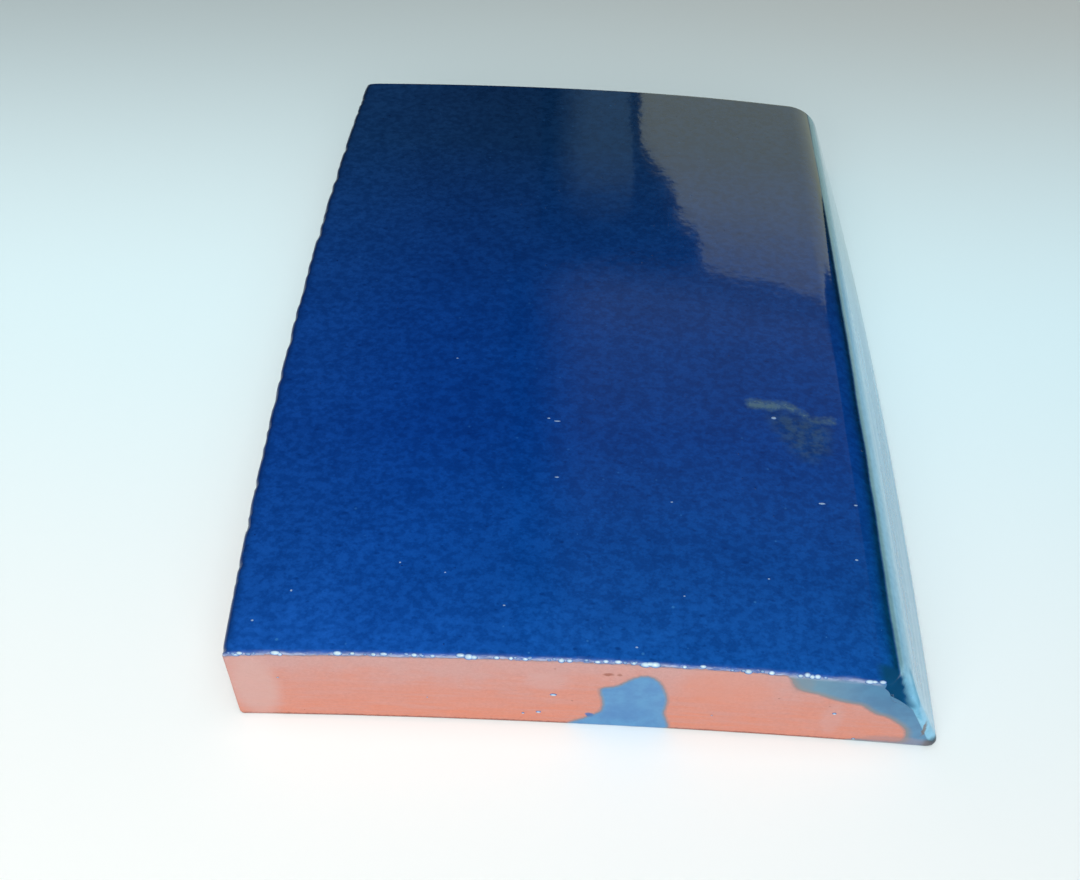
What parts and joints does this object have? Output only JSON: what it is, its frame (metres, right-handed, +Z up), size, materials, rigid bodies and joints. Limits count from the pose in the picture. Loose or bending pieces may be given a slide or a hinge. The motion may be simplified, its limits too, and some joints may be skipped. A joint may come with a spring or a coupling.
{
  "type": "glazed trim tile",
  "caption": "Thick rectangular glazed terracotta trim tile with a crowned face, bowed hand-cut sides and a long edge rolled over into a sloping nose.",
  "frame": {"origin": "centre of the bounding box on the bed, the flat unglazed underside that goes into the mortar", "axes": "+X across the tile from the cut long edge towards the rolled nose, +Y along the tile from its hollow front end to its bowed back end, +Z up out of the glazed face"},
  "size_m": [0.112, 0.1528, 0.0186],
  "materials": {
    "cobalt_glaze": "gloss"
  },
  "bodies": {
    "root": {"tile": "cobalt_glaze"}
  },
  "joints": []
}
